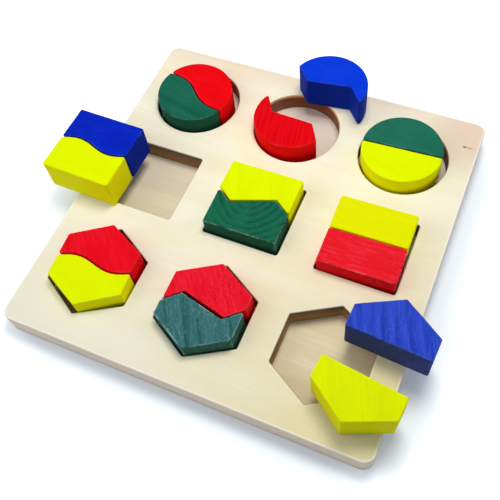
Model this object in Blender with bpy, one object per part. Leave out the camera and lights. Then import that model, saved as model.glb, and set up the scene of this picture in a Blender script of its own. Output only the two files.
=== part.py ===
# A puzzle board with nine cut-outs, and nine blocks that are each cut in two.
# Metres, +Z up. The origin is the middle of the board's underside, on the table.
# X runs along the front edge, to the right. Y runs from the front edge to the back.
import math

import bmesh
import bpy

# Blocks
BLOCK_THICKNESS = 0.022
CIRCLE_DIAMETER = 0.050
SQUARE_SIDE = 0.0468
HEXAGON_FLATS = 0.0475  # between two opposite flat sides
BLOCK_CORNER_RADIUS = 0.0012  # upright corners
BLOCK_EDGE_RADIUS = 0.0008  # round the top and the bottom

# Cuts that part the blocks in two
CUT_GAP = 0.0008
WAVE_HEIGHT = 0.0025  # from the middle line to a crest
WAVE_LENGTH = 0.045
ZIGZAG_MIDDLE = 0.0284  # length of the middle stroke
ZIGZAG_KINK = math.radians(56)  # turn from the middle stroke to an end stroke
CIRCLE_ZIGZAG_TILT = math.radians(18)  # slope of the middle stroke
SQUARE_ZIGZAG_TILT = math.radians(20)
HEXAGON_ZIGZAG_TILT = math.radians(15)

# Room between a block and the wall of its cut-out, on every side
CIRCLE_CLEARANCE = 0.0029
SQUARE_CLEARANCE = 0.0009
HEXAGON_CLEARANCE = 0.00225

# Board
PANEL_THICKNESS = 0.012
BASE_THICKNESS = 0.003
GLUE_LINE = 0.0003
COLUMN_WEB = 0.0157  # wood between the widest cut-outs of two columns
ROW_WEB = 0.01675  # wood between the cut-outs of two rows
LEFT_MARGIN = 0.0116
RIGHT_MARGIN = 0.0146
BACK_MARGIN = 0.0131
FRONT_MARGIN = 0.0170
BOARD_CORNER_RADIUS = 0.0065
BOARD_EDGE_RADIUS = 0.0016  # round the top of the panel
BASE_EDGE_RADIUS = 0.0005  # round the bottom of the base
CUTOUT_CORNER_RADIUS = 0.0012
CUTOUT_EDGE_RADIUS = 0.0006

# Space under a block that lies on the base or on the board
REST_GAP = 0.0003

# How far round pieces are divided
CIRCLE_STEPS = 40
WAVE_STEPS = 16
CORNER_STEPS = 3
BOARD_CORNER_STEPS = 8
EDGE_STEPS = 2

# Colours of the paint and the bare wood
RED = (0.76, 0.008, 0.012)
GREEN = (0.014, 0.140, 0.090)
YELLOW = (0.74, 0.85, 0.005)
BLUE = (0.007, 0.040, 0.68)
WOOD = (0.84, 0.79, 0.62)
SHEET = (0.66, 0.55, 0.36)

# Sizes that follow from those above
CIRCLE_CUTOUT = CIRCLE_DIAMETER + 2 * CIRCLE_CLEARANCE
SQUARE_CUTOUT = SQUARE_SIDE + 2 * SQUARE_CLEARANCE
HEXAGON_CUTOUT = HEXAGON_FLATS + 2 * HEXAGON_CLEARANCE
HEXAGON_CUTOUT_LENGTH = HEXAGON_CUTOUT / math.cos(math.radians(30))
COLUMN_WIDTH = max(CIRCLE_CUTOUT, SQUARE_CUTOUT, HEXAGON_CUTOUT)
COLUMN_PITCH = COLUMN_WIDTH + COLUMN_WEB
BOARD_WIDTH = LEFT_MARGIN + 3 * COLUMN_WIDTH + 2 * COLUMN_WEB + RIGHT_MARGIN
ROWS_LENGTH = CIRCLE_CUTOUT + SQUARE_CUTOUT + HEXAGON_CUTOUT_LENGTH
BOARD_DEPTH = BACK_MARGIN + ROWS_LENGTH + 2 * ROW_WEB + FRONT_MARGIN
BOARD_LEFT = -BOARD_WIDTH / 2
BOARD_RIGHT = BOARD_WIDTH / 2
BOARD_BACK = BOARD_DEPTH / 2
PANEL_BOTTOM = BASE_THICKNESS + GLUE_LINE
BOARD_TOP = PANEL_BOTTOM + PANEL_THICKNESS
SEAT_HEIGHT = BASE_THICKNESS + REST_GAP
LOOSE_HEIGHT = BOARD_TOP + REST_GAP
COLUMNS = [BOARD_LEFT + LEFT_MARGIN + COLUMN_WIDTH / 2 + i * COLUMN_PITCH for i in range(3)]
CIRCLE_ROW = BOARD_BACK - BACK_MARGIN - CIRCLE_CUTOUT / 2
SQUARE_ROW = CIRCLE_ROW - CIRCLE_CUTOUT / 2 - ROW_WEB - SQUARE_CUTOUT / 2
HEXAGON_ROW = SQUARE_ROW - SQUARE_CUTOUT / 2 - ROW_WEB - HEXAGON_CUTOUT_LENGTH / 2


def circle_points(diameter, start, end, steps):
    angles = [start + (end - start) * i / steps for i in range(steps + 1)]
    return [(diameter / 2 * math.cos(a), diameter / 2 * math.sin(a)) for a in angles]


def circle_outline(diameter):
    return circle_points(diameter, 0, 2 * math.pi, CIRCLE_STEPS)[:-1]


def square_outline(side):
    half = side / 2
    return [(half, -half), (half, half), (-half, half), (-half, -half)]


def hexagon_outline(flats):
    # Two corners point to the front and the back, two flat sides face left and right.
    length = flats / math.cos(math.radians(30))
    return circle_points(length, math.radians(-30), math.radians(330), 6)[:-1]


def rounded(points, radius, steps):
    # Puts an arc at every corner that turns by more than 25 degrees. A corner between
    # short lines gets a smaller arc.
    result = []
    for i, corner in enumerate(points):
        before = points[i - 1]
        after = points[(i + 1) % len(points)]
        come = (corner[0] - before[0], corner[1] - before[1])
        leave = (after[0] - corner[0], after[1] - corner[1])
        turn = math.atan2(come[0] * leave[1] - come[1] * leave[0], come[0] * leave[0] + come[1] * leave[1])
        if abs(turn) < math.radians(25):
            result.append(corner)
            continue
        room = 0.45 * min(math.hypot(*come), math.hypot(*leave))
        reach = min(radius * math.tan(abs(turn) / 2), room)
        bend = math.copysign(reach / math.tan(abs(turn) / 2), turn)
        heading = math.atan2(come[1], come[0])
        start = (corner[0] - reach * math.cos(heading), corner[1] - reach * math.sin(heading))
        centre = (start[0] - bend * math.sin(heading), start[1] + bend * math.cos(heading))
        for k in range(steps + 1):
            angle = heading + turn * k / steps
            result.append((centre[0] + bend * math.sin(angle), centre[1] - bend * math.cos(angle)))
    return result


def moved_in(points, distance):
    # The outline moved into the area that it runs round, anticlockwise, by this distance.
    result = []
    for i, point in enumerate(points):
        before = points[i - 1]
        after = points[(i + 1) % len(points)]
        first = math.atan2(point[1] - before[1], point[0] - before[0])
        second = math.atan2(after[1] - point[1], after[0] - point[0])
        half_turn = math.remainder(second - first, 2 * math.pi) / 2
        heading = first + half_turn + math.pi / 2
        reach = distance / math.cos(half_turn)
        result.append((point[0] + reach * math.cos(heading), point[1] + reach * math.sin(heading)))
    return result


def edge_rings(points, height, radius):
    # The rings of an outline from a sharp side wall to a flat top at this height, round the edge.
    rings = []
    for k in range(EDGE_STEPS + 1):
        angle = math.pi / 2 * k / EDGE_STEPS
        inset = radius * (1 - math.cos(angle))
        rings.append((moved_in(points, inset), height - radius * (1 - math.sin(angle))))
    return rings


def full_rings(points, thickness, radius):
    # The same for a plate with both edges round, from its underside to its top.
    upper = edge_rings(points, thickness, radius)
    lower = [(ring, thickness - height) for ring, height in reversed(upper)]
    return lower + upper


def add_wall(bm, rings):
    loops = [[bm.verts.new((x, y, height)) for x, y in ring] for ring, height in rings]
    for lower, upper in zip(loops, loops[1:]):
        for i in range(len(lower)):
            j = (i + 1) % len(lower)
            bm.faces.new((lower[i], lower[j], upper[j], upper[i]))
    return loops[0], loops[-1]


def fill_between(bm, loops):
    # Fills the flat area inside the first loop and outside the others.
    edges = []
    for loop in loops:
        for i in range(len(loop)):
            edges.append(bm.edges.get((loop[i - 1], loop[i])))
    bmesh.ops.triangle_fill(bm, use_beauty=True, use_dissolve=False, edges=edges)


def painted(name, colour, roughness):
    material = bpy.data.materials.new(name)
    material.use_nodes = True
    shader = material.node_tree.nodes["Principled BSDF"]
    shader.inputs["Base Color"].default_value = (*colour, 1)
    shader.inputs["Roughness"].default_value = roughness
    shader.inputs["Metallic"].default_value = 0
    return material


def finished(name, bm, material, place, turn):
    bmesh.ops.recalc_face_normals(bm, faces=bm.faces)
    mesh = bpy.data.meshes.new(name)
    bm.to_mesh(mesh)
    bm.free()
    mesh.shade_smooth()
    mesh.set_sharp_from_angle(angle=math.radians(30))
    mesh.materials.append(material)
    piece = bpy.data.objects.new(name, mesh)
    piece.location = place
    piece.rotation_euler.z = turn
    bpy.context.scene.collection.objects.link(piece)
    return piece


def board_outline():
    half_width = BOARD_WIDTH / 2
    half_depth = BOARD_DEPTH / 2
    corners = [(half_width, -half_depth), (half_width, half_depth)]
    corners += [(-half_width, half_depth), (-half_width, -half_depth)]
    return rounded(corners, BOARD_CORNER_RADIUS, BOARD_CORNER_STEPS)


def base_panel():
    # The thin sheet. Its lower edge is round, its upper edge meets the panel.
    bm = bmesh.new()
    outline = board_outline()
    rounding = edge_rings(outline, BASE_THICKNESS, BASE_EDGE_RADIUS)
    rings = [(ring, BASE_THICKNESS - height) for ring, height in reversed(rounding)]
    rings.append((outline, BASE_THICKNESS))
    bottom, top = add_wall(bm, rings)
    fill_between(bm, [bottom])
    fill_between(bm, [top])
    finished("base_panel", bm, painted("base_panel", SHEET, 0.6), (0, 0, 0), 0)


def cutout_outlines():
    # Each cut-out as an outline round the middle of the board.
    circle = circle_outline(CIRCLE_CUTOUT)
    square = rounded(square_outline(SQUARE_CUTOUT), CUTOUT_CORNER_RADIUS, CORNER_STEPS)
    hexagon = rounded(hexagon_outline(HEXAGON_CUTOUT), CUTOUT_CORNER_RADIUS, CORNER_STEPS)
    rows = ((circle, CIRCLE_ROW), (square, SQUARE_ROW), (hexagon, HEXAGON_ROW))
    return [[(x + column, y + row) for x, y in shape] for shape, row in rows for column in COLUMNS]


def top_panel():
    # The thick panel. Its upper edges are round outside and in the cut-outs.
    bm = bmesh.new()
    outline = board_outline()
    rings = [(outline, 0)] + edge_rings(outline, PANEL_THICKNESS, BOARD_EDGE_RADIUS)
    bottom, top = add_wall(bm, rings)
    bottoms = [bottom]
    tops = [top]
    for hole in cutout_outlines():
        rings = [(hole, 0)]
        for k in range(EDGE_STEPS + 1):
            angle = math.pi / 2 * k / EDGE_STEPS
            height = PANEL_THICKNESS - CUTOUT_EDGE_RADIUS * (1 - math.sin(angle))
            rings.append((moved_in(hole, -CUTOUT_EDGE_RADIUS * (1 - math.cos(angle))), height))
        bottom, top = add_wall(bm, rings)
        bottoms.append(bottom)
        tops.append(top)
    fill_between(bm, bottoms)
    fill_between(bm, tops)
    finished("top_panel", bm, painted("top_panel", WOOD, 0.5), (0, 0, PANEL_BOTTOM), 0)


def straight_cut(x):
    return 0


def wave_cut(x):
    return -WAVE_HEIGHT * math.sin(2 * math.pi * x / WAVE_LENGTH)


def zigzag_bend(tilt):
    half = ZIGZAG_MIDDLE / 2
    return half * math.cos(tilt), half * math.sin(tilt)


def zigzag(x, tilt):
    bend_x, bend_y = zigzag_bend(tilt)
    if abs(x) < bend_x:
        return x * math.tan(tilt)
    end = bend_y - (abs(x) - bend_x) * math.tan(ZIGZAG_KINK - tilt)
    return end if x > 0 else -end


def circle_zigzag_cut(x):
    return zigzag(x, CIRCLE_ZIGZAG_TILT)


def square_zigzag_cut(x):
    return zigzag(x, SQUARE_ZIGZAG_TILT)


def hexagon_zigzag_cut(x):
    # The hexagon's zigzag is the mirror image of the other two.
    return -zigzag(x, HEXAGON_ZIGZAG_TILT)


def bends_between(cut, left, right):
    # Where a cut needs a point between its two ends.
    if cut is straight_cut:
        return []
    if cut is wave_cut:
        return [left + (right - left) * i / WAVE_STEPS for i in range(1, WAVE_STEPS)]
    tilts = {circle_zigzag_cut: CIRCLE_ZIGZAG_TILT, square_zigzag_cut: SQUARE_ZIGZAG_TILT}
    bend_x = zigzag_bend(tilts.get(cut, HEXAGON_ZIGZAG_TILT))[0]
    return [-bend_x, bend_x]


def cut_points(cut, left, right, lift):
    # The cut from its left end to its right end, moved up by half of the gap.
    stops = [left, *bends_between(cut, left, right), right]
    return [(x, cut(x) + lift) for x in stops]


def circle_end(cut, lift, side):
    # Where the cut leaves the circle on this side, found by halving.
    near = 0
    far = CIRCLE_DIAMETER / 2
    for _ in range(60):
        x = (near + far) / 2
        if math.hypot(x, cut(side * x) + lift) < CIRCLE_DIAMETER / 2:
            near = x
        else:
            far = x
    return side * near


def circle_half(cut, back):
    lift = math.copysign(CUT_GAP / 2, back)
    left = circle_end(cut, lift, -1)
    right = circle_end(cut, lift, 1)
    line = cut_points(cut, left, right, lift)
    right_angle = math.atan2(line[-1][1], line[-1][0])
    left_angle = math.pi + math.atan2(-line[0][1], -line[0][0])
    if back > 0:
        return line + circle_points(CIRCLE_DIAMETER, right_angle, left_angle, CIRCLE_STEPS // 2)[1:-1]
    arc = circle_points(CIRCLE_DIAMETER, left_angle, right_angle + 2 * math.pi, CIRCLE_STEPS // 2)
    return line[::-1] + arc[1:-1]


def square_half(cut, back):
    half = SQUARE_SIDE / 2
    line = cut_points(cut, -half, half, math.copysign(CUT_GAP / 2, back))
    if back > 0:
        return line + [(half, half), (-half, half)]
    return line[::-1] + [(-half, -half), (half, -half)]


def hexagon_half(cut, back):
    half = HEXAGON_FLATS / 2
    side_end = half * math.tan(math.radians(30))
    tip = half / math.cos(math.radians(30))
    line = cut_points(cut, -half, half, math.copysign(CUT_GAP / 2, back))
    if back > 0:
        return line + [(half, side_end), (0, tip), (-half, side_end)]
    return line[::-1] + [(-half, -side_end), (0, -tip), (half, -side_end)]


def block(name, outline, colour, place, turn):
    bm = bmesh.new()
    outline = rounded(outline, BLOCK_CORNER_RADIUS, CORNER_STEPS)
    bottom, top = add_wall(bm, full_rings(outline, BLOCK_THICKNESS, BLOCK_EDGE_RADIUS))
    fill_between(bm, [bottom])
    fill_between(bm, [top])
    finished(name, bm, painted(name, colour, 0.4), place, turn)


def seat(column, row, clearance, share):
    # A place in a cut-out, off its middle by a share of the room there is.
    x = COLUMNS[column] + clearance * share[0]
    return x, row + clearance * share[1], SEAT_HEIGHT


def circle_blocks():
    wave_seat = seat(0, CIRCLE_ROW, CIRCLE_CLEARANCE, (-0.22, -0.40))
    turn = math.radians(-25.6)
    block("circle_wave_red", circle_half(wave_cut, 1), RED, wave_seat, turn)
    block("circle_wave_green", circle_half(wave_cut, -1), GREEN, wave_seat, turn)
    zigzag_seat = seat(1, CIRCLE_ROW, CIRCLE_CLEARANCE, (-0.88, -0.05))
    turn = math.radians(-20.6)
    block("circle_zigzag_red", circle_half(circle_zigzag_cut, -1), RED, zigzag_seat, turn)
    # The blue half lies on the board behind its cut-out and reaches over the back edge.
    back = BOARD_BACK + 0.13 * CIRCLE_DIAMETER - CIRCLE_DIAMETER / 2
    loose = (COLUMNS[1] + 0.27 * CIRCLE_DIAMETER, back, LOOSE_HEIGHT)
    turn = math.radians(-10)
    block("circle_zigzag_blue", circle_half(circle_zigzag_cut, 1), BLUE, loose, turn)
    straight_seat = seat(2, CIRCLE_ROW, CIRCLE_CLEARANCE, (-0.35, -0.50))
    turn = math.radians(3)
    block("circle_straight_green", circle_half(straight_cut, 1), GREEN, straight_seat, turn)
    block("circle_straight_yellow", circle_half(straight_cut, -1), YELLOW, straight_seat, turn)


def square_blocks():
    # The wave pair lies beside its cut-out and reaches over the left edge.
    left = BOARD_LEFT + SQUARE_SIDE / 2 - 0.40 * SQUARE_SIDE
    loose = (left, SQUARE_ROW - 0.08 * SQUARE_SIDE, LOOSE_HEIGHT)
    turn = math.radians(-1.2)
    block("square_wave_blue", square_half(wave_cut, 1), BLUE, loose, turn)
    block("square_wave_yellow", square_half(wave_cut, -1), YELLOW, loose, turn)
    back = seat(1, SQUARE_ROW, SQUARE_CLEARANCE, (-0.65, 0.80))
    front = seat(1, SQUARE_ROW, SQUARE_CLEARANCE, (-0.50, 0.55))
    turn = 0.40 * SQUARE_CLEARANCE / (SQUARE_SIDE / 2)
    block("square_zigzag_yellow", square_half(square_zigzag_cut, 1), YELLOW, back, 0)
    block("square_zigzag_green", square_half(square_zigzag_cut, -1), GREEN, front, turn)
    straight_seat = seat(2, SQUARE_ROW, SQUARE_CLEARANCE, (-0.10, -0.15))
    turn = 0.60 * SQUARE_CLEARANCE / (SQUARE_SIDE / 2)
    block("square_straight_yellow", square_half(straight_cut, 1), YELLOW, straight_seat, turn)
    block("square_straight_red", square_half(straight_cut, -1), RED, straight_seat, turn)


def hexagon_blocks():
    half_edge = HEXAGON_FLATS / 2 * math.tan(math.radians(30))
    back = seat(0, HEXAGON_ROW, HEXAGON_CLEARANCE, (0.42, -0.20))
    front = seat(0, HEXAGON_ROW, HEXAGON_CLEARANCE, (0.46, -0.38))
    turn = 0.40 * HEXAGON_CLEARANCE / half_edge
    block("hexagon_wave_red", hexagon_half(wave_cut, 1), RED, back, turn)
    block("hexagon_wave_yellow", hexagon_half(wave_cut, -1), YELLOW, front, turn)
    back = seat(1, HEXAGON_ROW, HEXAGON_CLEARANCE, (0.42, -0.50))
    front = seat(1, HEXAGON_ROW, HEXAGON_CLEARANCE, (0.06, -0.82))
    turn = 0.11 * HEXAGON_CLEARANCE / half_edge
    block("hexagon_zigzag_red", hexagon_half(hexagon_zigzag_cut, 1), RED, back, turn)
    block("hexagon_zigzag_green", hexagon_half(hexagon_zigzag_cut, -1), GREEN, front, turn)
    # The straight halves lie apart on the board and reach over the right edge.
    blue_x = BOARD_RIGHT + 0.25 * HEXAGON_FLATS - HEXAGON_FLATS / 2
    blue = (blue_x, HEXAGON_ROW + 0.18 * HEXAGON_FLATS, LOOSE_HEIGHT)
    turn = math.radians(-3.7)
    block("hexagon_straight_blue", hexagon_half(straight_cut, 1), BLUE, blue, turn)
    yellow_x = BOARD_RIGHT + 0.14 * HEXAGON_FLATS - HEXAGON_FLATS / 2
    yellow = (yellow_x, HEXAGON_ROW - 0.23 * HEXAGON_FLATS, LOOSE_HEIGHT)
    turn = math.radians(-7)
    block("hexagon_straight_yellow", hexagon_half(straight_cut, -1), YELLOW, yellow, turn)


for old in list(bpy.data.objects):
    bpy.data.objects.remove(old)
base_panel()
top_panel()
circle_blocks()
square_blocks()
hexagon_blocks()
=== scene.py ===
import math

import bmesh
import bpy
import numpy as np
from mathutils import Matrix, Vector


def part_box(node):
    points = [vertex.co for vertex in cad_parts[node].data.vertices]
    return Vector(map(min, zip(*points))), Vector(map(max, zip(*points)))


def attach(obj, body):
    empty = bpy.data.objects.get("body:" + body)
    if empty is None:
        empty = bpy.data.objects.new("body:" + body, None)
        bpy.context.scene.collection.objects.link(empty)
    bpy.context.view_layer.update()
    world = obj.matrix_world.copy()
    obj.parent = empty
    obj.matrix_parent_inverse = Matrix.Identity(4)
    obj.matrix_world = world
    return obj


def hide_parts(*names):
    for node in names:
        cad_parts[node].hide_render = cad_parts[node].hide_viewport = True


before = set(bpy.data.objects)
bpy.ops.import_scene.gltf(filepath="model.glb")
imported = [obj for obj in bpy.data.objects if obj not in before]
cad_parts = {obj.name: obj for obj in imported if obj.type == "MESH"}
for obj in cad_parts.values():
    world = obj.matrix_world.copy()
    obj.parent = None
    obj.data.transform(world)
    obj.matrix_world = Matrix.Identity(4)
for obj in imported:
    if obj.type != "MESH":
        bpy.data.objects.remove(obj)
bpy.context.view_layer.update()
print("frame loaded:", len(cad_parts), "nodes")


def screenColour(red, green, blue):
    # a screen colour, 0 to 255, as the linear values that a shader takes
    share = np.array([red, green, blue]) / 255.0
    linear = np.where(share <= 0.04045, share / 12.92, ((share + 0.055) / 1.055) ** 2.4)
    return (*linear.tolist(), 1.0)


# Outlines, read from the frame so that every piece sits exactly where its node is

def linkedOutlines(starts, ends):
    # starts[i] leads to ends[i]. Strides double, so every point learns the first point of its own
    # outline and how many steps lead there; sorting by those steps puts each outline in order.
    members = np.unique(starts)
    own = np.arange(len(members))
    follows = np.empty_like(own)
    follows[np.searchsorted(members, starts)] = np.searchsorted(members, ends)
    doublings = int(math.log2(len(members))) + 1
    first, stride = np.minimum(own, follows), follows
    for _ in range(doublings):
        first, stride = np.minimum(first, first[stride]), stride[stride]
    atFirst = first == own
    steps, stride = np.where(atFirst, 0, 1), np.where(atFirst, own, follows)
    for _ in range(doublings):
        steps, stride = steps + steps[stride], stride[stride]
    inOrder = np.lexsort((-steps, first))
    return [members[inOrder[first[inOrder] == start]] for start in own[atFirst]]


def wallOutlines(nodeName):
    # the outlines at the foot of a node's upright walls, the tallest stretch between two levels of
    # points, each an array of x and y with the wood on its left
    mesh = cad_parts[nodeName].data
    places = np.empty(len(mesh.vertices) * 3)
    mesh.vertices.foreach_get("co", places)
    corners = np.empty(len(mesh.loops), dtype=int)
    mesh.loops.foreach_get("vertex_index", corners)
    points, merged = np.unique(places.reshape(-1, 3).round(6), axis=0, return_inverse=True)
    triangles = merged.reshape(-1)[corners].reshape(-1, 3)
    levels = np.unique(points[:, 2])
    foot = levels[np.argmax(np.diff(levels))]
    sides = np.concatenate([np.roll(triangles, turn, axis=1) for turn in range(3)])
    heights = points[sides, 2]
    sides = sides[(heights[:, 0] == foot) & (heights[:, 1] == foot) & (heights[:, 2] > foot)]
    return [points[outline, :2] for outline in linkedOutlines(sides[:, 0], sides[:, 1])]


def smoothOutline(corners, spacing):
    # A closed Hermite curve through the corners, about one point per spacing. The heading at a corner
    # is that of the circle through it and its neighbours, or of the longer side where one side is
    # far longer, so straight sides stay straight and round stretches lose their flats.
    farLonger, fewest = 3.0, 3
    ahead = np.roll(corners, -1, axis=0) - corners
    length = np.linalg.norm(ahead, axis=1, keepdims=True)
    ahead = ahead / length
    lastLength = np.roll(length, 1, axis=0)
    behind = np.roll(ahead, 1, axis=0)
    heading = behind * length + ahead * lastLength
    heading = np.where(length > farLonger * lastLength, ahead, heading)
    heading = np.where(lastLength > farLonger * length, behind, heading)
    heading = heading / np.linalg.norm(heading, axis=1, keepdims=True)
    counts = np.maximum(fewest, np.ceil(length[:, 0] / spacing)).astype(int)
    side = np.repeat(np.arange(len(corners)), counts)
    within = np.arange(counts.sum()) - np.repeat(np.cumsum(counts) - counts, counts)
    t = (within / counts[side])[:, None]
    start, end = corners[side], np.roll(corners, -1, axis=0)[side]
    leave = heading[side] * length[side]
    arrive = np.roll(heading, -1, axis=0)[side] * length[side]
    return (
        (2 * t**3 - 3 * t**2 + 1) * start
        + (t**3 - 2 * t**2 + t) * leave
        + (3 * t**2 - 2 * t**3) * end
        + (t**3 - t**2) * arrive
    )


def inwards(curve):
    # unit directions into the wood, square to a curve that has the wood on its left
    along = np.roll(curve, -1, axis=0) - np.roll(curve, 1, axis=0)
    along = along / np.linalg.norm(along, axis=1, keepdims=True)
    return np.stack([-along[:, 1], along[:, 0]], axis=1)


def cornerShare(curve, radius):
    # how sharply the outline turns outwards: 1 at a corner of this radius or less, 0 where straight
    ahead = np.roll(curve, -1, axis=0) - curve
    behind = np.roll(ahead, 1, axis=0)
    turn = np.arctan2(
        behind[:, 0] * ahead[:, 1] - behind[:, 1] * ahead[:, 0], (behind * ahead).sum(axis=1)
    )
    length = (np.linalg.norm(ahead, axis=1) + np.linalg.norm(behind, axis=1)) / 2
    return np.clip(turn / length * radius, 0.0, 1.0)


def sandedRadius(radius, unevenness, count, phase):
    # an edge radius that drifts along a closed outline, a sum of three whole waves, as hand sanding does
    along = np.linspace(0.0, 2 * math.pi, count, endpoint=False) + phase
    drift = np.sin(3 * along) + 0.7 * np.sin(7 * along + 1.3) + 0.5 * np.sin(17 * along + 0.4)
    return radius * (1 + unevenness * drift / 2.2)


def carriedEdge(curve, low, high, lowRadius, highRadius, steps, guard):
    # A wall's section carried along its outline: flat strip, quarter circle, upright wall, quarter
    # circle, flat strip. Each ring is the outline moved into the wood by the section's inset and lifted
    # to its height. Gives the rings, and for each ring how much it is an edge and how much a wall.
    arc = np.linspace(0.0, math.pi / 2, steps + 1)[:, None]
    lowRadius, highRadius = np.atleast_1d(lowRadius)[None], np.atleast_1d(highRadius)[None]
    insets = [lowRadius * (1 - np.sin(arc)), highRadius * (1 - np.cos(arc))]
    heights = [low + lowRadius * (1 - np.cos(arc)), high - highRadius * (1 - np.sin(arc))]
    insets = [insets[0][:1] + guard] + insets + [insets[1][-1:] + guard]
    heights = [heights[0][:1]] + heights + [heights[1][-1:]]
    spread = np.ones((1, len(curve)))
    inset = np.concatenate([part * spread for part in insets])
    height = np.concatenate([part * spread for part in heights])
    moved = curve[None] + inwards(curve)[None] * inset[:, :, None]
    rings = np.concatenate([moved, height[:, :, None]], axis=2)
    bend = np.sin(2 * arc[:, 0])
    upright = np.sin(arc[:, 0])
    edge = np.concatenate([[0.0], bend, bend, [0.0]])
    wall = np.concatenate([[0.0], upright, upright[::-1], [0.0]])
    return rings, edge, wall


def ringFaces(ringCount, around, first):
    # four-sided faces between neighbouring rings, turned outwards, as indices from a first point
    lower = np.arange(ringCount - 1)[:, None] * around
    here = np.arange(around)[None]
    there = (here + 1) % around
    quads = np.stack([lower + here, lower + there, lower + around + there, lower + around + here], axis=2)
    return quads.reshape(-1, 4) + first


def cappedFaces(ringCount, around):
    # the faces between rings, and one flat face over each end
    bottomRing = np.arange(around)
    topRing = bottomRing + (ringCount - 1) * around
    caps = [bottomRing[::-1].tolist(), topRing.tolist()]
    return ringFaces(ringCount, around, 0).tolist() + caps


def woodPiece(name, points, faces, marks):
    # a smooth-shaded mesh with its painted-on marks, one number per point each
    mesh = bpy.data.meshes.new(name)
    mesh.from_pydata(points, [], faces)
    for mark, values in marks.items():
        layer = mesh.attributes.new(mark, "FLOAT", "POINT")
        layer.data.foreach_set("value", np.ascontiguousarray(values, dtype=np.float32))
    mesh.shade_smooth()
    piece = bpy.data.objects.new(name, mesh)
    bpy.context.scene.collection.objects.link(piece)
    return piece


def standFor(piece, nodeName, body, finish):
    piece.data.materials.append(finish)
    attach(piece, body)
    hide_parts(nodeName)


# Small tools for shader nodes

def feed(tree, socket, value):
    # a socket takes another node's output or a plain value
    if isinstance(value, bpy.types.NodeSocket):
        tree.links.new(value, socket)
    else:
        socket.default_value = value


def maths(tree, operation, *values, clamp=False):
    node = tree.nodes.new("ShaderNodeMath")
    node.operation = operation
    node.use_clamp = clamp
    for socket, value in zip(node.inputs, values):
        feed(tree, socket, value)
    return node.outputs[0]


def vectorMaths(tree, operation, first, second, output="Vector"):
    node = tree.nodes.new("ShaderNodeVectorMath")
    node.operation = operation
    feed(tree, node.inputs[0], first)
    feed(tree, node.inputs[1], second)
    return node.outputs[output]


def tint(tree, share, under, over):
    # one colour over another, by share
    node = tree.nodes.new("ShaderNodeMix")
    node.data_type = "RGBA"
    feed(tree, node.inputs[0], share)
    feed(tree, node.inputs[6], under)
    feed(tree, node.inputs[7], over)
    return node.outputs[2]


def cloud(tree, place, scale, detail=2.0, output=0):
    # soft random pattern, about one blotch per 1 / scale metres
    node = tree.nodes.new("ShaderNodeTexNoise")
    feed(tree, node.inputs["Vector"], place)
    node.inputs["Scale"].default_value = scale
    node.inputs["Detail"].default_value = detail
    return node.outputs[output]


def rescale(tree, value, fromLow, fromHigh, toLow, toHigh):
    node = tree.nodes.new("ShaderNodeMapRange")
    for socket, given in zip(node.inputs, (value, fromLow, fromHigh, toLow, toHigh)):
        feed(tree, socket, given)
    return node.outputs[0]


def mark(tree, name):
    node = tree.nodes.new("ShaderNodeAttribute")
    node.attribute_name = name
    return node.outputs["Fac"]


def turnedPlace(tree, centre, turn):
    # Object coordinates seen from a centre, in axes turned by three angles
    coordinates = tree.nodes.new("ShaderNodeTexCoord")
    mapping = tree.nodes.new("ShaderNodeMapping")
    mapping.vector_type = "TEXTURE"
    mapping.inputs["Location"].default_value = centre
    mapping.inputs["Rotation"].default_value = [math.radians(angle) for angle in turn]
    tree.links.new(coordinates.outputs["Object"], mapping.inputs["Vector"])
    return mapping.outputs["Vector"]


def axes(tree, place):
    # a place's X, Y and Z
    split = tree.nodes.new("ShaderNodeSeparateXYZ")
    tree.links.new(place, split.inputs[0])
    return split.outputs


def newGroup(name, inputs, outputs):
    group = bpy.data.node_groups.new(name, "ShaderNodeTree")
    for title, kind in inputs.items():
        group.interface.new_socket(title, in_out="INPUT", socket_type="NodeSocket" + kind)
    for title, kind in outputs.items():
        group.interface.new_socket(title, in_out="OUTPUT", socket_type="NodeSocket" + kind)
    entry = group.nodes.new("NodeGroupInput")
    leave = group.nodes.new("NodeGroupOutput")
    return group, entry.outputs, leave.inputs


def placed(tree, group, **inputs):
    node = tree.nodes.new("ShaderNodeGroup")
    node.node_tree = group
    for title, value in inputs.items():
        feed(tree, node.inputs[title], value)
    return node.outputs


ringPattern = {
    "slowStretch": 0.25,   # how much of a length along the stem counts in drift and patches
    "driftScale": 45.0,
    "rise": 1.5,   # a ring darkens slowly at first
    "fallFrom": 0.72,   # and fades from this share of its width
    "patchScale": 120.0,
    "patchFade": (0.35, 1.6),   # faintest and strongest patch
    "fibreStretch": 0.12,
    "fibreScale": 700.0,
}
wearAndSheenPattern = {
    "patchScale": 110.0,
    "patchSpread": 3.2,
    "patchOffset": -2.35,   # the lower, the less is rubbed
    "fleckScale": 700.0,
    "fleckSpread": 2.4,
}


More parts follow.
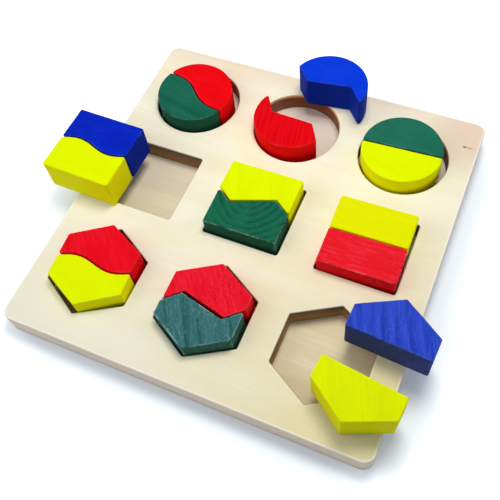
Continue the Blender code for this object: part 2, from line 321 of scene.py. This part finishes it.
def growthRings(look):
    # The stem runs along the place's own Z. Ring is 1 in dark late wood, from the distance to the stem's
    # middle, wobbled, cut into whole rings and faded in patches; Fibre is fine streaks along the stem.
    group, given, out = newGroup(
        "growthRings",
        {"Place": "Vector", "Spacing": "Float", "Wobble": "Float"},
        {"Ring": "Float", "Fibre": "Float"},
    )
    drawnOut = vectorMaths(group, "MULTIPLY", given["Place"], (1.0, 1.0, look["slowStretch"]))
    drift = cloud(group, drawnOut, look["driftScale"], output=1)
    drift = vectorMaths(group, "SUBTRACT", drift, (0.5, 0.5, 0.5))
    scaled = vectorMaths(group, "SCALE", drift, (0.0, 0.0, 0.0))
    group.links.new(given["Wobble"], scaled.node.inputs["Scale"])
    wobbled = vectorMaths(group, "ADD", given["Place"], scaled)
    across = vectorMaths(group, "MULTIPLY", wobbled, (1.0, 1.0, 0.0))
    distance = vectorMaths(group, "LENGTH", across, (0.0, 0.0, 0.0), output="Value")
    phase = maths(group, "FRACT", maths(group, "DIVIDE", distance, given["Spacing"]))
    rise = maths(group, "POWER", phase, look["rise"])
    fall = rescale(group, phase, look["fallFrom"], 1.0, 1.0, 0.0)
    fade = rescale(group, cloud(group, drawnOut, look["patchScale"]), 0.35, 0.60, *look["patchFade"])
    ring = maths(group, "MULTIPLY", maths(group, "MULTIPLY", rise, fall), fade, clamp=True)
    group.links.new(ring, out["Ring"])
    streaks = vectorMaths(group, "MULTIPLY", given["Place"], (1.0, 1.0, look["fibreStretch"]))
    group.links.new(cloud(group, streaks, look["fibreScale"], detail=3.0), out["Fibre"])
    return group


def edgeWearAndSheen(look):
    # Mask is how far paint is thinned or rubbed at the edges, which also carry a painted highlight: the edge
    # mark times a share that drifts in patches and breaks into fine flecks
    group, given, out = newGroup(
        "edgeWearAndSheen", {"Place": "Vector", "Amount": "Float"}, {"Mask": "Float"}
    )
    patches = cloud(group, given["Place"], look["patchScale"])
    patches = maths(group, "MULTIPLY_ADD", patches, look["patchSpread"], look["patchOffset"])
    flecks = cloud(group, given["Place"], look["fleckScale"], detail=3.0)
    share = maths(group, "MULTIPLY_ADD", flecks, look["fleckSpread"], patches)
    rubbedAndLit = maths(group, "MULTIPLY", mark(group, "edge"), given["Amount"])
    group.links.new(maths(group, "MULTIPLY", rubbedAndLit, share, clamp=True), out["Mask"])
    return group


ringsGroup = growthRings(ringPattern)
wearAndSheenGroup = edgeWearAndSheen(wearAndSheenPattern)
print("shared wood and wear patterns ready")


def seenRays(tree):
    # 1 for rays from the camera, off gloss or through glass, 0 for rays that only bring light
    path = tree.nodes.new("ShaderNodeLightPath")
    seen = maths(tree, "MAXIMUM", path.outputs["Is Camera Ray"], path.outputs["Is Glossy Ray"])
    return maths(tree, "MAXIMUM", seen, path.outputs["Is Transmission Ray"])


def newFinish(name, specular):
    finish = bpy.data.materials.new(name)
    finish.use_nodes = True
    shader = finish.node_tree.nodes["Principled BSDF"]
    shader.inputs["Specular IOR Level"].default_value = specular
    return finish, finish.node_tree, shader


def relief(tree, shader, height, strength, depth):
    bump = tree.nodes.new("ShaderNodeBump")
    bump.inputs["Strength"].default_value = strength
    bump.inputs["Distance"].default_value = depth
    tree.links.new(height, bump.inputs["Height"])
    tree.links.new(bump.outputs["Normal"], shader.inputs["Normal"])


# Painted half-blocks

# side: the paint on the upright walls, set apart from the coat as painted light and shade: darker and greyer
# for green and blue, warmer for yellow
paints = {
    "red": {
        "coat": (238, 12, 22), "ring": (206, 4, 14), "fleck": (244, 58, 74),
        "side": (234, 14, 16), "wornAndSheen": (248, 104, 116),
    },
    "green": {
        "coat": (28, 104, 82), "ring": (16, 80, 60), "fleck": (52, 126, 104),
        "side": (34, 83, 60), "wornAndSheen": (138, 178, 166),
    },
    "yellow": {
        "coat": (228, 246, 0), "ring": (214, 228, 0), "fleck": (236, 250, 24),
        "side": (246, 241, 0), "wornAndSheen": (240, 252, 36),
    },
    "blue": {
        "coat": (10, 48, 208), "ring": (6, 30, 158), "fleck": (36, 76, 224),
        "side": (16, 42, 150), "wornAndSheen": (88, 116, 220),
    },
}

# turn: the stem's heading from Y; lean: from level, -90 is upright; stem: its middle from the block's
# centre in metres; the shares say how strongly rings, dark lines, pale flecks, specks and worn edges with a
# painted highlight show
plainGrain = {
    "turn": 90, "lean": 0, "stem": (0.0, 0.010, -0.050), "spacing": 0.0040, "wobble": 0.004,
    "rings": 0.4, "lines": 0.25, "flecks": 0.2, "specks": 0.0, "wearAndSheen": 0.3,
}
blockLooks = {
    "circle_wave_red": {"paint": "red", "coat": (241, 8, 18), "turn": 70, "flecks": 0.1, "wearAndSheen": 0.2},
    "circle_wave_green": {
        "paint": "green", "coat": (28, 101, 80), "rings": 0.9, "lines": 0.4, "spacing": 0.0034, "turn": 78,
    },
    "circle_zigzag_blue": {"paint": "blue", "coat": (10, 58, 216), "rings": 0.15},
    "circle_zigzag_red": {
        "paint": "red", "coat": (231, 9, 20), "ring": (188, 0, 10), "side": (246, 18, 16),
        "turn": 9, "stem": (0.120, 0.0, 0.010), "spacing": 0.0036, "wobble": 0.016,
        "rings": 0.55, "lines": 0.2, "flecks": 0.1, "wearAndSheen": 0.2,
    },
    "circle_straight_green": {"paint": "green", "rings": 0.4, "turn": 82, "coat": (34, 110, 88)},
    "circle_straight_yellow": {"paint": "yellow", "turn": 75},
    "square_wave_blue": {"paint": "blue", "coat": (10, 38, 186), "rings": 0.5, "flecks": 0.15},
    "square_wave_yellow": {"paint": "yellow", "turn": 84, "wearAndSheen": 0.6},
    "square_zigzag_yellow": {"paint": "yellow", "turn": 20, "rings": 0.6},
    "square_zigzag_green": {
        "paint": "green", "coat": (28, 104, 76), "rings": 1.1, "spacing": 0.0042, "wobble": 0.006,
        "lean": -78, "turn": 20, "stem": (-0.0040, 0.0165, 0.0), "wearAndSheen": 0.7,
    },
    "square_straight_yellow": {"paint": "yellow", "turn": 88, "coat": (232, 233, 0)},
    "square_straight_red": {
        "paint": "red", "coat": (238, 26, 40), "fleck": (246, 76, 92),
        "lines": 0.4, "flecks": 0.3, "specks": 0.15, "wearAndSheen": 0.8,
    },
    "hexagon_wave_red": {"paint": "red", "turn": 40, "coat": (238, 14, 32)},
    "hexagon_wave_yellow": {"paint": "yellow", "wornAndSheen": (242, 252, 64), "turn": 60, "wearAndSheen": 0.7},
    "hexagon_zigzag_red": {
        "paint": "red", "coat": (238, 20, 42), "ring": (204, 8, 24), "fleck": (240, 62, 82),
        "turn": 37, "lines": 0.7, "flecks": 0.25, "specks": 0.2, "wearAndSheen": 0.5,
    },
    "hexagon_zigzag_green": {
        "paint": "green", "coat": (58, 111, 114), "ring": (18, 78, 64), "fleck": (84, 138, 144),
        "side": (46, 92, 68), "wornAndSheen": (150, 186, 188),
        "turn": 31, "stem": (0.103, 0.061, 0.0), "spacing": 0.0085, "wobble": 0.008,
        "rings": 1.0, "lines": 0.4, "flecks": 0.4, "specks": 0.35, "wearAndSheen": 1.1,
    },
    "hexagon_straight_blue": {
        "paint": "blue", "coat": (48, 76, 202), "ring": (14, 36, 148), "fleck": (78, 106, 214),
        "side": (58, 64, 106),
        "turn": 22, "stem": (0.028, 0.010, -0.012), "spacing": 0.0056, "wobble": 0.014,
        "rings": 0.85, "lines": 0.35, "flecks": 0.4, "specks": 0.35, "wearAndSheen": 0.7,
    },
    "hexagon_straight_yellow": {
        "paint": "yellow", "coat": (228, 240, 0), "ring": (200, 208, 0), "wornAndSheen": (238, 252, 44),
        "side": (240, 230, 0), "turn": 19, "rings": 0.4, "lines": 0.3, "wearAndSheen": 0.9,
    },
}
blockShape = {
    "spacing": 0.0007,   # between points along the outline
    "edgeRadius": 0.00075,
    "unevenness": 0.15,   # of the edge radius
    "edgeSteps": 6,
    "guard": 0.00015,   # flat strip that keeps the top face's shading flat
    "wornAndLitCorner": 0.0016,   # upright corners tighter than this rub and take the painted highlight too
    "cornerWearAndSheen": 0.35,   # but less than the edges do
}
paintLook = {
    "specular": 0.01,
    "sideShadingShare": 0.8,   # how far the side colour, painted shade, covers the walls
    "fleckFibres": (0.52, 0.72),   # fibre values from which pale flecks grow, and where they are full
    "lineFibres": (0.48, 0.30),   # the same for dark lines
    "poreScale": 1300.0,
    "speckPores": (0.48, 0.74),   # pore values from which specks grow, and where they are full
    "speckPatches": (80.0, 0.2),   # specks gather in patches of this scale, with this share between them
    "roughness": (0.38, 0.56),
    "relief": (0.12, 0.0002),   # strength and depth
}


def blockFinish(name, look, centre):
    # the coat, darker in rings and along dark fibres, paler along pale ones; the side colour over the walls
    # as painted shade; pores in patches and worn edges with a painted highlight in the wear-and-sheen colour;
    # gloss and relief follow the fibres
    paint = {**paintLook, **paints[look["paint"]], **look}
    finish, tree, shader = newFinish(name + ".paint", paint["specular"])
    stem = [middle + offset for middle, offset in zip(centre, look["stem"])]
    place = turnedPlace(tree, stem, (90 + look["lean"], 0, look["turn"]))
    grain = placed(tree, ringsGroup, Place=place, Spacing=look["spacing"], Wobble=look["wobble"])
    wornAndSheen = placed(tree, wearAndSheenGroup, Place=place, Amount=look["wearAndSheen"])["Mask"]
    ringShare = maths(tree, "MULTIPLY", grain["Ring"], look["rings"])
    fleckShare = rescale(tree, grain["Fibre"], *paint["fleckFibres"], 0.0, look["flecks"])
    lineShare = rescale(tree, grain["Fibre"], *paint["lineFibres"], 0.0, look["lines"])
    darkShare = maths(tree, "MAXIMUM", ringShare, lineShare)
    colour = tint(tree, darkShare, screenColour(*paint["coat"]), screenColour(*paint["ring"]))
    colour = tint(tree, fleckShare, colour, screenColour(*paint["fleck"]))
    # painted shade: the walls take the side colour
    sideShadingShare = maths(tree, "MULTIPLY", mark(tree, "wall"), paint["sideShadingShare"])
    colour = tint(tree, sideShadingShare, colour, screenColour(*paint["side"]))
    pores = cloud(tree, vectorMaths(tree, "MULTIPLY", place, (1.0, 1.0, 0.4)), paint["poreScale"])
    patchScale, between = paint["speckPatches"]
    patches = rescale(tree, cloud(tree, place, patchScale), 0.35, 0.65, between, 1.0)
    specks = rescale(tree, pores, *paint["speckPores"], 0.0, look["specks"])
    specks = maths(tree, "MULTIPLY", specks, patches)
    colour = tint(tree, specks, colour, screenColour(*paint["wornAndSheen"]))
    # edges take the wear-and-sheen colour: real wear with a painted highlight; the specks above are real pale
    # pores
    colour = tint(tree, wornAndSheen, colour, screenColour(*paint["wornAndSheen"]))
    tree.links.new(colour, shader.inputs["Base Color"])
    roughness = rescale(tree, grain["Fibre"], 0.3, 0.7, *paint["roughness"])
    tree.links.new(roughness, shader.inputs["Roughness"])
    relief(tree, shader, maths(tree, "ADD", grain["Fibre"], ringShare), *paint["relief"])
    return finish


def halfBlock(nodeName):
    # the node's outline, smoothed, with a sanded wall section carried round it and flat faces
    shape = blockShape
    look = {**plainGrain, **blockLooks[nodeName]}
    low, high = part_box(nodeName)
    curve = smoothOutline(wallOutlines(nodeName)[0], shape["spacing"])
    around = len(curve)
    phase = 1000.0 * (low[0] + low[1])   # another drift on every block
    radius = sandedRadius(shape["edgeRadius"], shape["unevenness"], around, phase)
    rings, edge, wall = carriedEdge(
        curve, low[2], high[2], radius, radius, shape["edgeSteps"], shape["guard"]
    )
    corner = shape["cornerWearAndSheen"] * cornerShare(curve, shape["wornAndLitCorner"])
    rubbedAndLit = 1 - (1 - edge[:, None]) * (1 - wall[:, None] * corner[None])
    faces = cappedFaces(len(rings), around)
    marks = {"edge": rubbedAndLit.reshape(-1), "wall": np.repeat(wall, around)}
    piece = woodPiece(nodeName + ".block", rings.reshape(-1, 3), faces, marks)
    centre = [(a + b) / 2 for a, b in zip(low, high)]
    standFor(piece, nodeName, nodeName, blockFinish(nodeName, look, centre))


for blockName in blockLooks:
    halfBlock(blockName)
print("painted half-blocks:", len(blockLooks))


# Board

boardLook = {
    "specular": 0.08,
    "wood": (250, 244, 220),
    "streak": (240, 229, 200),
    "bands": (0.10, 55.0, 0.70, 0.75),   # stretch along X, scale, value where full, share
    "fibres": (0.03, 700.0, 0.75, 0.45),   # the same
    "roughness": (0.50, 0.68),
    "relief": (0.10, 0.0002),   # strength and depth
    "mellow": (244, 232, 190),   # yellower blotches
    "mellowShare": 0.45,
    "blush": (236, 207, 183),   # warmer band near the back edge, widest in the right corner
    "blushDepth": 0.020,
    "blushCorner": 0.048,
    "blushFull": 0.4,   # share of the corner's reach within which it is strongest
    "blushShare": 0.85,
    "rightCornerShade": (228, 214, 166),   # yellower and darker towards the front right corner: painted shadow and painted yellow reflection of the block there
    "rightShadeReach": 0.220,
    "rightShadeShare": 0.95,
    "rightShadeFall": 2.0,   # falls off faster than evenly
    "leftCornerShade": (234, 231, 210),   # greyer and darker towards the front left corner: painted shade
    "leftShadeReach": 0.150,
    "leftShadeShare": 0.8,
    # painted highlight along the upper rims: near white on the outer rim, faint on the cut-outs
    "edgeHighlight": (255, 250, 240),
    "edgeHighlightShare": (0.8, 0.1),   # on the flat, and on a cut-out's wall
    "shadedCutWall": (150, 100, 46),   # dark brown wall of a cut-out: painted shade
    "rimShadow": (50, 12, 0),   # darker still under its rim: painted shadow
    "rimShadowDepth": 0.0075,
    "roundRowFrom": 0.037,   # the round cut-outs lie behind this line
    "shadedRoundWall": (116, 56, 10),   # their darker red-brown wall: painted shade
    "roundRimHighlight": (222, 184, 122),   # and their paler rim: painted highlight
    "roundRimDepth": 0.0028,
    "roundRimFade": 0.4,   # share of that depth over which the rim fades
    "wallShadeFall": 2.0,   # this painted shade leaves the rounded rim faster than evenly
    "outerWall": (238, 221, 196),
    "knotPlace": (0.1034, 0.0933),   # on the top, near the back right corner
    # a dark speck and its tawny tail: colour, half width, times longer than wide, how far to the right
    "knot": ((84, 50, 28), 0.0010, 1.6, 0.0),
    "knotTail": ((222, 172, 112), 0.0011, 2.8, 0.0030),
    "knotCore": 0.35,   # share of the half width that is darkest
    "knotShare": 0.85,
}
boardShape = {
    "spacing": 0.0012,
    "outerRadius": 0.0007,
    "cutRadius": 0.0009,
    "unevenness": 0.10,
    "footRadius": 0.00002,
    "edgeSteps": 6,
    "guard": 0.0008,   # flat strip over which the painted highlight on the rim fades
    "cutRimShare": 0.35,   # how much of that painted highlight the cut-outs have
}
baseLook = {
    "specular": 0.12,
    "wood": (239, 225, 191),
    "streak": (222, 204, 164),
    "bands": (0.12, 90.0, 0.66, 0.8),
    "fibres": (0.04, 800.0, 0.75, 0.5),
    "roughness": (0.55, 0.72),
    "relief": (0.10, 0.0002),
    "pale": (236, 226, 214),   # greyer wood towards the back
    "paleFrom": -0.030,
    "wall": (226, 208, 184),
}
baseShape = {"spacing": 0.0012, "footRadius": 0.0005, "topRadius": 0.00002, "edgeSteps": 4, "guard": 0.0004}


def farFrom(tree, middle, streak):
    # level distance from a place on the board, along the grain counted as so many times shorter
    seen = turnedPlace(tree, (*middle, 0.0), (0, 0, 0))
    squeezed = vectorMaths(tree, "MULTIPLY", seen, (1 / streak, 1.0, 0.0))
    return vectorMaths(tree, "LENGTH", squeezed, (0.0, 0.0, 0.0), output="Value")


def plankGrain(tree, place, look):
    # grain along X: broad bands and fine fibres, both drawn out along it, lay the streak colour over the wood
    stretch, scale, full, share = look["bands"]
    bands = cloud(tree, vectorMaths(tree, "MULTIPLY", place, (stretch, 1.0, 1.0)), scale, detail=4.0)
    streaky = rescale(tree, bands, 0.42, full, 0.0, share)
    colour = tint(tree, streaky, screenColour(*look["wood"]), screenColour(*look["streak"]))
    stretch, scale, full, share = look["fibres"]
    fibres = cloud(tree, vectorMaths(tree, "MULTIPLY", place, (stretch, 1.0, 1.0)), scale, detail=3.0)
    colour = tint(tree, rescale(tree, fibres, 0.50, full, 0.0, share), colour, screenColour(*look["streak"]))
    return bands, fibres, colour


def plankSurface(tree, shader, fibres, look):
    # gloss and relief follow the fibres
    tree.links.new(rescale(tree, fibres, 0.3, 0.7, *look["roughness"]), shader.inputs["Roughness"])
    relief(tree, shader, fibres, *look["relief"])


def boardFinish(name, look):
    # Plank grain with yellower blotches, a warmer band along the back that is widest in the right corner,
    # painted shadow with a painted yellow reflection towards the front right corner, painted shade towards
    # the front left corner and one small knot. The outer wall has one tone. The cut-outs' walls are painted
    # shade, darkest under the rim as painted shadow, the round ones under a paler rim that is a painted
    # highlight; the upper rims are a painted highlight.
    finish, tree, shader = newFinish(name, look["specular"])
    place = turnedPlace(tree, (0.0, 0.0, 0.0), (0, 0, 0))
    bands, fibres, colour = plankGrain(tree, place, look)
    blotches = cloud(tree, vectorMaths(tree, "MULTIPLY", place, (0.6, 1.0, 1.0)), 48.0)
    mellow = rescale(tree, blotches, 0.46, 0.68, 0.0, look["mellowShare"])
    colour = tint(tree, mellow, colour, screenColour(*look["mellow"]))
    along = axes(tree, place)
    (left, front, _), (right, back, top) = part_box("top_panel")
    nearBack = rescale(tree, along["Y"], back - look["blushDepth"], back, 0.0, 1.0)
    fullWithin = look["blushFull"] * look["blushCorner"]
    nearCorner = farFrom(tree, (right, back), 1.0)
    nearCorner = rescale(tree, nearCorner, look["blushCorner"], fullWithin, 0.0, look["blushShare"])
    blush = maths(tree, "MAXIMUM", maths(tree, "MULTIPLY", nearBack, bands), nearCorner)
    colour = tint(tree, blush, colour, screenColour(*look["blush"]))
    # painted shadow and painted yellow reflection towards the front right corner
    nearRight = farFrom(tree, (right, front), 1.0)
    nearRight = rescale(tree, nearRight, look["rightShadeReach"], 0.0, 0.0, look["rightShadeShare"])
    nearRight = maths(tree, "POWER", nearRight, look["rightShadeFall"])
    colour = tint(tree, nearRight, colour, screenColour(*look["rightCornerShade"]))
    # painted shade towards the front left corner
    nearLeft = farFrom(tree, (left, front), 1.0)
    nearLeft = rescale(tree, nearLeft, look["leftShadeReach"], 0.0, 0.0, look["leftShadeShare"])
    colour = tint(tree, nearLeft, colour, screenColour(*look["leftCornerShade"]))
    for knotColour, halfWidth, streak, toRight in (look["knotTail"], look["knot"]):
        middle = (look["knotPlace"][0] + toRight, look["knotPlace"][1])
        knot = farFrom(tree, middle, streak)
        knot = rescale(tree, knot, look["knotCore"] * halfWidth, halfWidth, look["knotShare"], 0.0)
        colour = tint(tree, knot, colour, screenColour(*knotColour))
    colour = tint(tree, mark(tree, "wall"), colour, screenColour(*look["outerWall"]))
    # painted shade on the cut-outs' walls, darkest under the rim as painted shadow
    underRim = rescale(tree, along["Z"], top - look["rimShadowDepth"], top, 0.0, 1.0)
    shadedWall = tint(tree, underRim, screenColour(*look["shadedCutWall"]), screenColour(*look["rimShadow"]))
    # round cut-outs: a painted highlight on the rim over the painted shade below
    rimFoot = top - look["roundRimDepth"]
    rimFull = rimFoot + look["roundRimFade"] * look["roundRimDepth"]
    rimHighlight = rescale(tree, along["Z"], rimFoot, rimFull, 0.0, 1.0)
    shadedRoundWall = tint(tree, rimHighlight, screenColour(*look["shadedRoundWall"]), screenColour(*look["roundRimHighlight"]))
    roundRow = maths(tree, "GREATER_THAN", along["Y"], look["roundRowFrom"])
    shadedWall = tint(tree, roundRow, shadedWall, shadedRoundWall)
    wallShade = maths(tree, "POWER", mark(tree, "cut"), look["wallShadeFall"])
    wallShade = maths(tree, "MULTIPLY", wallShade, rescale(tree, bands, 0.3, 0.7, 1.0, 0.85))
    colour = tint(tree, wallShade, colour, shadedWall)
    # painted highlight on the upper rims
    highlight = rescale(tree, mark(tree, "cut"), 0.0, 0.4, *look["edgeHighlightShare"])
    highlight = maths(tree, "MULTIPLY", mark(tree, "edge"), highlight)
    colour = tint(tree, highlight, colour, screenColour(*look["edgeHighlight"]))
    tree.links.new(colour, shader.inputs["Base Color"])
    plankSurface(tree, shader, fibres, look)
    return finish


def baseFinish(name, look):
    # plank grain, greyer by the distance behind a line across the board; the walls have one tone
    finish, tree, shader = newFinish(name, look["specular"])
    place = turnedPlace(tree, (0.0, 0.0, 0.0), (0, 0, 0))
    _, fibres, colour = plankGrain(tree, place, look)
    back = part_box("base_panel")[1][1]
    nearBack = rescale(tree, axes(tree, place)["Y"], look["paleFrom"], back, 0.0, 1.0)
    colour = tint(tree, nearBack, colour, screenColour(*look["pale"]))
    colour = tint(tree, mark(tree, "wall"), colour, screenColour(*look["wall"]))
    tree.links.new(colour, shader.inputs["Base Color"])
    plankSurface(tree, shader, fibres, look)
    return finish


def boardPanel():
    # a wall section carried round the board's outline and round each cut-out, joined by flat faces that
    # fill the space between those outlines
    shape = boardShape
    low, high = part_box("top_panel")
    outlines = sorted(wallOutlines("top_panel"), key=np.ptp, reverse=True)
    points, faces, edges, walls, cuts, lowRims, highRims = [], [], [], [], [], [], []
    count = 0
    for number, outline in enumerate(outlines):
        curve = smoothOutline(outline, shape["spacing"])
        around = len(curve)
        outer = number == 0
        radius = shape["outerRadius"] if outer else shape["cutRadius"]
        radius = sandedRadius(radius, shape["unevenness"], around, number)
        rings, _, wall = carriedEdge(
            curve, low[2], high[2], shape["footRadius"], radius, shape["edgeSteps"], shape["guard"]
        )
        points.append(rings.reshape(-1, 3))
        faces += ringFaces(len(rings), around, count).tolist()
        upper = len(wall) // 2   # painted highlight: the rim grows lighter from the wall up to the top, then fades
        edge = np.concatenate([np.zeros(upper), 1 - wall[upper:-1], [0.0]])
        edges.append(np.repeat(edge if outer else shape["cutRimShare"] * edge, around))
        walls.append(np.repeat(wall if outer else 0 * wall, around))
        cuts.append(np.repeat(0 * wall if outer else wall, around))
        rim = np.arange(around) + count
        lowRims.append(np.stack([rim, np.roll(rim, -1)], axis=1))
        highRims.append(lowRims[-1] + (len(rings) - 1) * around)
        count += len(rings) * around
    marks = {"edge": np.concatenate(edges), "wall": np.concatenate(walls), "cut": np.concatenate(cuts)}
    piece = woodPiece("top_panel.board", np.concatenate(points), faces, marks)
    fillFlat(piece.data, np.concatenate(highRims), 1.0)
    fillFlat(piece.data, np.concatenate(lowRims), -1.0)
    standFor(piece, "top_panel", "board", boardFinish("panelWood", boardLook))


def fillFlat(mesh, rims, facing):
    # triangles between level outlines, turned up or down
    body = bmesh.new()
    body.from_mesh(mesh)
    body.verts.ensure_lookup_table()
    edges = [body.edges.get((body.verts[a], body.verts[b])) for a, b in rims]
    filled = bmesh.ops.triangle_fill(body, use_beauty=True, edges=edges)
    flat = [face for face in filled["geom"] if isinstance(face, bmesh.types.BMFace)]
    for face in flat:
        face.smooth = True
        if face.normal.z * facing < 0:
            face.normal_flip()
    body.to_mesh(mesh)
    body.free()


def baseSheet():
    # the base's outline with a thin wall section carried round it and a flat face top and bottom
    shape = baseShape
    low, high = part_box("base_panel")
    curve = smoothOutline(wallOutlines("base_panel")[0], shape["spacing"])
    around = len(curve)
    rings, _, wall = carriedEdge(
        curve, low[2], high[2], shape["footRadius"], shape["topRadius"], shape["edgeSteps"], shape["guard"]
    )
    faces = cappedFaces(len(rings), around)
    marks = {"wall": np.repeat(wall, around)}
    piece = woodPiece("base_panel.sheet", rings.reshape(-1, 3), faces, marks)
    standFor(piece, "base_panel", "board", baseFinish("baseWood", baseLook))


boardPanel()
baseSheet()
print("board: panel and base")


# Floor, light and camera

studio = {
    "floorSize": 3.0,
    "floorColour": (243, 249, 255),
    "floorRoughness": (0.85, 0.95),
    # a glow that is seen but lights nothing: beside the board, where the paper is bare, and far away
    "floorGlow": (0.07, 0.42, 1.0),
    "glowReach": (0.006, 0.028, 0.5),   # how far outside the board's outline those three are
    "glowRound": 0.040,   # radius that the outline's corners are given for this
    "ambient": 0.25,   # light from all round, as a share of white
    "ambientColour": (0.86, 0.97, 1.17),
    # round lamps turned to the board's middle: power, place, width, colour
    "lamps": {
        "key": (1.80, (0.047, 0.12, 0.55), 0.24, (1.05, 1.02, 0.95)),
        "left": (1.50, (-0.48, -0.22, 0.46), 0.6, (1.0, 1.0, 1.0)),
        "right": (0.60, (0.56, 0.10, 0.57), 1.2, (0.92, 0.98, 1.10)),
    },
}
viewpoint = {
    "azimuth": 31.940,
    "elevation": 59.507,
    "roll": -9.750,
    "distance": 0.409316,
    "target": (0.005155, -0.019544, 0.0153),
    "lens": 49.66,
    "shift": (0.00102, -0.00952),
}


def floor(look):
    # a plain pale sheet; its glow follows the distance from the board's outline with rounded corners
    reach = look["floorSize"] / 2
    mesh = bpy.data.meshes.new("floor")
    corners = [(-reach, -reach, 0), (reach, -reach, 0), (reach, reach, 0), (-reach, reach, 0)]
    mesh.from_pydata(corners, [], [(0, 1, 2, 3)])
    sheet = bpy.data.objects.new("floor", mesh)
    finish, tree, shader = newFinish("floorPaper", specular=0.0)
    place = turnedPlace(tree, (0.0, 0.0, 0.0), (0, 0, 0))
    shader.inputs["Base Color"].default_value = screenColour(*look["floorColour"])
    shader.inputs["Emission Color"].default_value = (1.0, 1.0, 1.0, 1.0)
    fromMiddle = vectorMaths(tree, "ABSOLUTE", place, (0.0, 0.0, 0.0))
    right, back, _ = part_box("base_panel")[1]
    core = (right - look["glowRound"], back - look["glowRound"], 0.0)
    outside = vectorMaths(tree, "MAXIMUM", vectorMaths(tree, "SUBTRACT", fromMiddle, core), (0.0, 0.0, 0.0))
    fromCore = vectorMaths(tree, "LENGTH", outside, (0.0, 0.0, 0.0), output="Value")
    near, bare, far = (look["glowRound"] + away for away in look["glowReach"])
    nearGlow, bareGlow, farGlow = look["floorGlow"]
    glow = rescale(tree, fromCore, near, bare, nearGlow, bareGlow)
    glow = maths(tree, "ADD", glow, rescale(tree, fromCore, bare, far, 0.0, farGlow - bareGlow))
    glow = maths(tree, "MULTIPLY", seenRays(tree), glow)
    tree.links.new(glow, shader.inputs["Emission Strength"])
    roughness = rescale(tree, cloud(tree, place, 40.0), 0.3, 0.7, *look["floorRoughness"])
    tree.links.new(roughness, shader.inputs["Roughness"])
    mesh.materials.append(finish)
    bpy.context.scene.collection.objects.link(sheet)


def studioLight(look):
    for name, (power, place, width, colour) in look["lamps"].items():
        lamp = bpy.data.lights.new(name, "AREA")
        lamp.shape = "DISK"
        lamp.size = width
        lamp.energy = power
        lamp.color = colour
        holder = bpy.data.objects.new(name, lamp)
        holder.location = place
        holder.rotation_euler = Vector(place).to_track_quat("Z", "Y").to_euler()
        bpy.context.scene.collection.objects.link(holder)
    world = bpy.data.worlds.new("studio")
    bpy.context.scene.world = world
    world.use_nodes = True
    tree = world.node_tree
    tree.nodes.clear()
    seen = seenRays(tree)
    sky = tree.nodes.new("ShaderNodeBackground")
    tree.links.new(rescale(tree, seen, 0.0, 1.0, look["ambient"], 1.0), sky.inputs["Strength"])
    tree.links.new(
        tint(tree, seen, (*look["ambientColour"], 1.0), (1.0, 1.0, 1.0, 1.0)), sky.inputs["Color"]
    )
    leave = tree.nodes.new("ShaderNodeOutputWorld")
    tree.links.new(sky.outputs[0], leave.inputs["Surface"])


def camera(look):
    turn, rise, roll = (math.radians(look[angle]) for angle in ("azimuth", "elevation", "roll"))
    back = Vector((math.sin(turn) * math.cos(rise), -math.cos(turn) * math.cos(rise), math.sin(rise)))
    level = Vector((0, 0, 1)).cross(back).normalized()
    above = back.cross(level)
    right = math.cos(roll) * level + math.sin(roll) * above
    up = math.cos(roll) * above - math.sin(roll) * level
    lens = bpy.data.cameras.new("camera")
    lens.lens = look["lens"]
    lens.sensor_width = 36.0
    lens.shift_x, lens.shift_y = look["shift"]
    lens.clip_start = 0.01
    viewer = bpy.data.objects.new("camera", lens)
    turned = Matrix((right, up, back)).transposed().to_4x4()
    viewer.matrix_world = Matrix.Translation(Vector(look["target"]) + look["distance"] * back) @ turned
    bpy.context.scene.collection.objects.link(viewer)
    bpy.context.scene.camera = viewer


floor(studio)
studioLight(studio)
camera(viewpoint)
bpy.context.scene.view_settings.view_transform = "Standard"
print("floor, light and camera ready")
